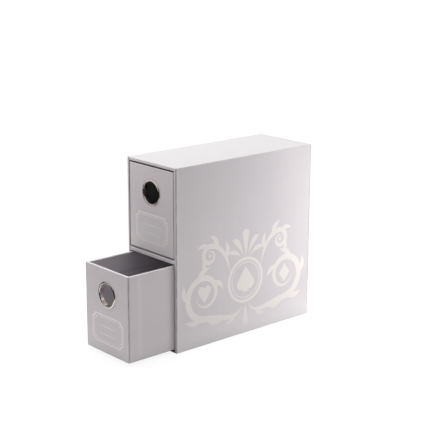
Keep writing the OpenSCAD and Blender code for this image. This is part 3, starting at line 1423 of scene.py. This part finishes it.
@dataclass
class Case:
    """The case: its wrapped boards, the lined bays and the print on its side.

    Each bay is kept as its lowest and its highest corner, and levels holds the heights of the bays'
    floors and roofs from the lowest up.
    """

    liner: float = 0.3 * MM
    turn_in: float = 0.8 * MM
    fold: float = 0.7 * MM
    mouth_fold: float = 0.35 * MM
    corner_share: float = 0.9
    base_fold: float = 0.5 * MM
    seam_width: float = 0.8 * MM
    seam_depth: float = 0.25 * MM
    base: float = 0.25 * MM
    margin: float = 1.6 * MM
    proud: float = 0.05 * MM

    def __post_init__(self) -> None:
        """Reads the case's own sizes from the frame."""
        low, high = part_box("case_wrap_paper")
        self.low = Vector((low.x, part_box("case_edge_paper")[0].y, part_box("case_base_paper")[0].z))
        self.high = Vector((high.x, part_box("case_back_paper")[1].y, high.z))
        self.bays = [self._bay(f"{level.value}_bay_liner") for level in Level]
        self.levels = [corner.z for bay in self.bays for corner in bay]
        self.shelf = (self.levels[1], self.levels[2])
        self.bay_side = self.bays[0][1].x

    def _bay(self, node: str) -> tuple[Vector, Vector]:
        """Works out the clear space of a bay.

        Args:
            node: the node of its lining.

        Returns:
            Its lowest and its highest corner.
        """
        low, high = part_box(node)
        start = Vector((low.x + self.liner, self.low.y, low.z + self.liner))
        return start, high - Vector((self.liner,) * 3)

    def wrap(self, paper: bpy.types.Material) -> None:
        """Models the printed sheet round the case and over the front edges of the boards.

        Args:
            paper: its material.
        """
        inset = Vector((INK_DEPTH,) * 3)
        low, high = self.low + inset, self.high - inset
        high.y = self.high.y - self.base
        piece = block("case_wrap", low, high)
        with Edit(piece) as edit:
            self._open_bays(edit)
            self._press_seam(edit, low.y)
            edit.clean()

        def fold(middle: Vector, way: Vector) -> float:
            """Gives each fold of the sheet its radius.

            Args:
                middle: the middle of an edge.
                way: its direction.

            Returns:
                The radius.
            """
            if sum(middle[i] < low[i] + MM or middle[i] > high[i] - MM for i in range(3)) >= 2:
                return self.base_fold if middle.z < low.z + HAIR else self.fold
            on_level = any(abs(middle.z - level) < HAIR for level in self.levels)
            on_side = abs(abs(middle.x) - self.bay_side) < HAIR and any(
                start.z < middle.z < end.z for start, end in self.bays)
            if abs(middle.x) > self.bay_side + HAIR or not (on_level or on_side):
                return 0.0
            if middle.y < low.y + HAIR:
                return self.mouth_fold
            in_corner = abs(way.y) > ALONG and middle.y < low.y + self.turn_in
            return self.corner_share * self.mouth_fold if in_corner else 0.0

        round_edges(piece, fold, 4)
        give_thickness(piece, PAPER)
        smooth(piece)
        place(piece, paper, "case", ["case_wrap_paper", "case_edge_paper"])

    def _open_bays(self, edit: Edit) -> None:
        """Opens both bays in the front face and turns the sheet in round their mouths.

        Args:
            edit: the edit of the sheet.
        """
        edit.faces(lambda centre, normal: normal.y < -ALONG)
        bpy.ops.mesh.inset(thickness=self.high.x - INK_DEPTH - self.bay_side, depth=0)

        def front(centre: Vector, normal: Vector) -> bool:
            """Whether a face is of the front between the side walls."""
            return normal.y < -ALONG and abs(centre.x) < self.bay_side and (
                self.levels[0] - MM < centre.z < self.levels[3] + MM)

        edit.cut(front, self.shelf)
        edit.faces(lambda centre, normal: front(centre, normal)
                   and not self.shelf[0] < centre.z < self.shelf[1])
        edit.push((0, self.turn_in, 0))
        bpy.ops.mesh.delete(type="FACE")

    def _press_seam(self, edit: Edit, front: float) -> None:
        """Presses the seam between the edges of the two shelf boards.

        Args:
            edit: the edit of the sheet.
            front: where the sheet's front lies along Y.
        """
        middle, half = sum(self.shelf) / 2, self.seam_width / 2

        def strip(centre: Vector, normal: Vector) -> bool:
            """Whether a face is of the front of the shelf."""
            return normal.y < -ALONG and abs(centre.x) < self.bay_side and (
                self.shelf[0] < centre.z < self.shelf[1])

        edit.cut(strip, (middle - half, middle, middle + half))
        edit.edges(lambda centre, way: abs(centre.z - middle) < HAIR and abs(centre.y - front) < HAIR
                   and abs(way.x) > ALONG)
        bpy.ops.transform.translate(value=(0, self.seam_depth, 0))

    def sheets(self, paper: bpy.types.Material) -> None:
        """Models the sheet on the back and the one that the case stands on.

        Args:
            paper: their material.
        """
        inset = Vector((self.margin,) * 3)
        low, high = self.low + inset, self.high - inset
        back, foot = self.high.y, self.low.z
        corners = {"back": ((low.x, back - self.base, low.z), (high.x, back, high.z)),
                   "base": ((low.x, low.y, foot), (high.x, high.y, foot + self.base))}
        for side, (start, end) in corners.items():
            piece = Sheet(f"case_{side}_sheet", Vector(start), Vector(end)).build()
            place(piece, paper, "case", [f"case_{side}_paper"])

    def linings(self, lining: bpy.types.Material) -> None:
        """Models the plain paper inside both bays.

        Args:
            lining: its material.
        """
        skin = Vector((self.proud,) * 3)
        for level, (start, end) in zip(Level, self.bays):
            low = start + skin
            low.y = self.low.y + self.turn_in - 0.5 * self.liner
            piece = Lining(f"{level.value}_bay_lining", low, end - skin, Way.FRONT).build()
            place(piece, lining, "case", [f"{level.value}_bay_liner"])

    def print_side(self, ink: bpy.types.Material) -> None:
        """Prints the ornament on the right side.

        Args:
            ink: its material.
        """
        foot = Vector((self.high.x - INK_DEPTH, (self.low.y + self.high.y) / 2, self.low.z))
        piece = SidePrint("case_side_print", foot).build()
        place(piece, ink, "case")


@dataclass
class Drawer:
    """One drawer: its wrapped boards, its lining, its ring and its label."""

    level: Level
    wall: float = 3.1 * MM
    fold: float = 0.6 * MM
    under_fold: float = 2.0 * MM
    corner_share: float = 0.4
    rim: float = 1.05 * MM
    turn_in: float = 2.2 * MM
    bare_rim: float = 1.5 * MM
    proud: float = 0.05 * MM
    ring_hole: float = 13.2 * MM
    wrap_cut: float = 10 * MM
    lining_cut: float = 4 * MM
    strip: float = 20.8 * MM
    label_height: float = 26.6 * MM

    def __post_init__(self) -> None:
        """Reads the drawer's own sizes from the frame."""
        self.low, self.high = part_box(self.node("wrap_paper"))
        ring_low, ring_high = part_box(self.node("ring_washer"))
        self.ring = Vector((0, self.low.y, (ring_low.z + ring_high.z) / 2))
        self.body = f"{self.level.value}_drawer"

    def node(self, piece: str) -> str:
        """The name of one of this drawer's nodes."""
        return f"{self.level.value}_{piece}"

    def wrap(self, paper: bpy.types.Material) -> None:
        """Models the printed sheet outside, turned in over the rim.

        Args:
            paper: its material.
        """
        low = self.low + Vector((0, INK_DEPTH, 0))
        piece = block(self.node("drawer_wrap"), low, self.high)
        with Edit(piece) as edit:
            edit.faces(lambda centre, normal: normal.z > ALONG)
            bpy.ops.mesh.inset(thickness=self.wall, depth=0)
            edit.push((0, 0, -self.turn_in))
            bpy.ops.mesh.delete(type="FACE")
            edit.clean()

        def fold(middle: Vector, way: Vector) -> float:
            """Gives each fold of the sheet its radius.

            Args:
                middle: the middle of an edge.
                way: its direction.

            Returns:
                The radius.
            """
            if abs(way.z) < ACROSS and middle.z > self.high.z - HAIR:
                return self.rim
            if middle.z < low.z + HAIR:
                return self.under_fold if abs(way.y) > ALONG else self.fold
            if abs(way.z) > ALONG and middle.z < self.high.z - self.turn_in:
                return self.fold
            return self.corner_share * self.fold if abs(way.z) > ALONG else 0.0

        round_edges(piece, fold, 4)
        give_thickness(piece, PAPER)
        cut_hole(piece, self.ring, self.ring_hole, self.wrap_cut)
        smooth(piece)
        place(piece, paper, self.body, [self.node("wrap_paper")])

    def lining(self, lining: bpy.types.Material) -> None:
        """Models the plain paper inside.

        Args:
            lining: its material.
        """
        inset = self.wall + self.proud
        low = self.low + Vector((inset, inset, inset))
        high = self.high - Vector((inset, inset, self.bare_rim))
        piece = Lining(self.node("drawer_lining"), low, high, Way.UP).build()
        cut_hole(piece, self.ring + self.wall * BACK, self.ring_hole, self.lining_cut)
        place(piece, lining, self.body, [self.node("liner_paper")])

    def fit_ring(self, metal: bpy.types.Material) -> None:
        """Models the finger ring."""
        piece = FingerRing(self.node("pull_ring"), self.ring).build()
        place(piece, metal, self.body, [self.node("finger_ring")])

    def print_label(self, ink: bpy.types.Material) -> None:
        """Prints the write-on label under the ring.

        Args:
            ink: its material.
        """
        centre = Vector((0, self.low.y + INK_DEPTH, self.low.z + self.label_height))
        piece = LabelPrint(self.node("label_print"), centre).build()
        place(piece, ink, self.body)


@dataclass(frozen=True)
class SoftBox:
    """One square soft light that faces the middle of the box, at the height aim."""

    name: str
    centre: Place
    size: float
    power: float
    aim: float = 0.1

    def hang(self) -> None:
        """Adds the light to the scene."""
        data = bpy.data.lights.new(self.name, "AREA")
        data.shape, data.size, data.energy = "SQUARE", self.size, self.power
        lamp = bpy.data.objects.new(self.name, data)
        lamp.visible_camera = lamp.visible_glossy = False
        lamp.location = self.centre
        lamp.rotation_euler = (self.aim * UP - Vector(self.centre)).to_track_quat("-Z", "Y").to_euler()
        bpy.context.scene.collection.objects.link(lamp)


@dataclass
class Studio:
    """The pale floor, the soft light and the camera.

    Angles are in degrees, and the lens and its sensor in millimetres. The floor is dimmer near the
    box than far from it. The dark screen is higher where its direction and the camera's, seen from
    above, have a cosine over screen_share.
    """

    azimuth: float = 48.462
    elevation: float = 14.812
    roll: float = 0.197
    lens: float = 97.13
    sensor: float = 36.0
    eye: Vector = field(default_factory=lambda: Vector((0.94727, -0.84885, 0.46613)))
    lamps: tuple[SoftBox, ...] = (SoftBox("top_light", (-0.1, 0.2, 1.5), 1.3, 25.5),
                                  SoftBox("right_light", (0.22, 0.25, 0.155), 0.16, 0.69),
                                  SoftBox("left_light", (-0.5, -0.42, 0.45), 0.35, 2.43))
    ambient: float = 0.15
    sky: float = 0.8
    floor_size: float = 40.0
    floor_drop: float = 0.05 * MM
    lit_floor: Colour = (0.86, 0.86, 0.86)
    seen_floor: Colour = (0.14, 0.14, 0.14)
    near_glow: float = 0.88
    near: float = 0.5
    far: float = 2.0
    screen_cloth: Colour = (0.02, 0.018, 0.016)
    screen_reach: float = 0.30
    screen_height: float = 0.155
    screen_rise: float = 0.16
    screen_share: float = 0.6

    def camera(self) -> None:
        """Places the camera at the photograph's view."""
        data = bpy.data.cameras.new("camera")
        data.lens, data.sensor_width = self.lens, self.sensor
        camera = bpy.data.objects.new("camera", data)
        turn, tilt = math.radians(self.azimuth), math.radians(self.elevation)
        level = math.cos(tilt)
        back = Vector((math.sin(turn) * level, -math.cos(turn) * level, math.sin(tilt)))
        right = Vector((math.cos(turn), math.sin(turn), 0))
        facing = Matrix((right, back.cross(right), back)).transposed().to_4x4()
        roll = Matrix.Rotation(math.radians(self.roll), 4, "Z")
        camera.matrix_world = Matrix.Translation(self.eye) @ facing @ roll
        bpy.context.scene.collection.objects.link(camera)
        bpy.context.scene.camera = camera

    def floor(self) -> None:
        """Lays a pale floor that keeps the box's shadow and turns white further out."""
        floor = primitive(bpy.ops.mesh.primitive_plane_add, "floor", size=self.floor_size,
                          location=-self.floor_drop * UP)
        shader = Shader("floor")
        seen, mirrored = shader.rays()
        reach = shader.add("ShaderNodeVectorMath", {"operation": "LENGTH"}, [shader.place], "Value")
        far = reach.ramp(self.near, self.far)
        glow = seen * (far * (1 - self.near_glow) + self.near_glow) + mirrored * far
        shader.set(Base_Color=shader.tint(seen, self.lit_floor, self.seen_floor), Roughness=0.9,
                   Specular_IOR_Level=0.0, Emission_Color=glow, Emission_Strength=1.0)
        dress(floor, shader.material)

    def screen(self) -> None:
        """Stands a dark screen round the box, which only gloss and metal see.

        It is higher before the camera.
        """
        screen = primitive(bpy.ops.mesh.primitive_cylinder_add, "dark_screen", vertices=64,
                           radius=self.screen_reach, depth=self.screen_height,
                           end_fill_type="NOTHING", location=self.screen_height / 2 * UP)
        view = self.eye.xy.normalized()
        for vertex in screen.data.vertices:
            facing = vertex.co.xy.normalized().dot(view)
            if vertex.co.z > 0 and facing > self.screen_share:
                vertex.co.z += self.screen_rise
        shader = Shader("screen_cloth")
        shader.set(Base_Color=(*self.screen_cloth, 1), Roughness=1.0, Specular_IOR_Level=0.0)
        dress(screen, shader.material)
        screen.visible_camera = screen.visible_diffuse = screen.visible_shadow = False

    def light(self) -> None:
        """Hangs the soft lights and sets the surroundings, white to the eye and dim as light."""
        for lamp in self.lamps:
            lamp.hang()
        world = bpy.data.worlds.new("surroundings")
        bpy.context.scene.world = world
        world.use_nodes = True
        nodes = Nodes(world.node_tree)
        seen, mirrored = nodes.rays()
        dim, white = (nodes.add("ShaderNodeBackground", {}, ((1, 1, 1, 1), strength))
                      for strength in (self.ambient, self.sky))
        mixed = nodes.add("ShaderNodeMixShader", {}, (seen.most(mirrored), dim, white))
        nodes.feed(world.node_tree.nodes["World Output"].inputs["Surface"], mixed)


def main() -> None:
    """Builds the studio, the case and both drawers, and dresses the bare boards."""
    logging.basicConfig(level=logging.INFO, format="%(message)s")
    bpy.context.scene.view_settings.view_transform = "Standard"
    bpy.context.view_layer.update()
    studio = Studio()
    studio.camera()
    studio.floor()
    studio.screen()
    studio.light()
    lining = LiningPaper().material()
    metal = PolishedNickel().material()
    board = GreyBoard().material()
    label_ink = LabelInk().material()
    case = Case()
    paper = CasePaper("case_paper", case.low, case.high, bay=case.bay_side, shelf=case.shelf).material()
    case.wrap(paper)
    case.sheets(paper)
    case.linings(lining)
    case.print_side(PrintInk().material())
    for level in Level:
        drawer = Drawer(level)
        finish = UpperDrawerPaper if level is Level.UPPER else DrawerPaper
        paper = finish(f"{level.value}_paper", drawer.low, drawer.high, wall=drawer.wall)
        lined = LiningPaper(f"{level.value}_lining_paper", drawer.low.y, drawer.high.z - drawer.strip)
        drawer.wrap(paper.material())
        drawer.lining(lined.material())
        drawer.fit_ring(metal)
        drawer.print_label(label_ink)
    for name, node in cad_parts.items():
        if name.endswith("_board"):
            dress(node, board)
        elif name.endswith("_washer"):
            dress(node, metal)


if __name__ == "__main__":
    main()
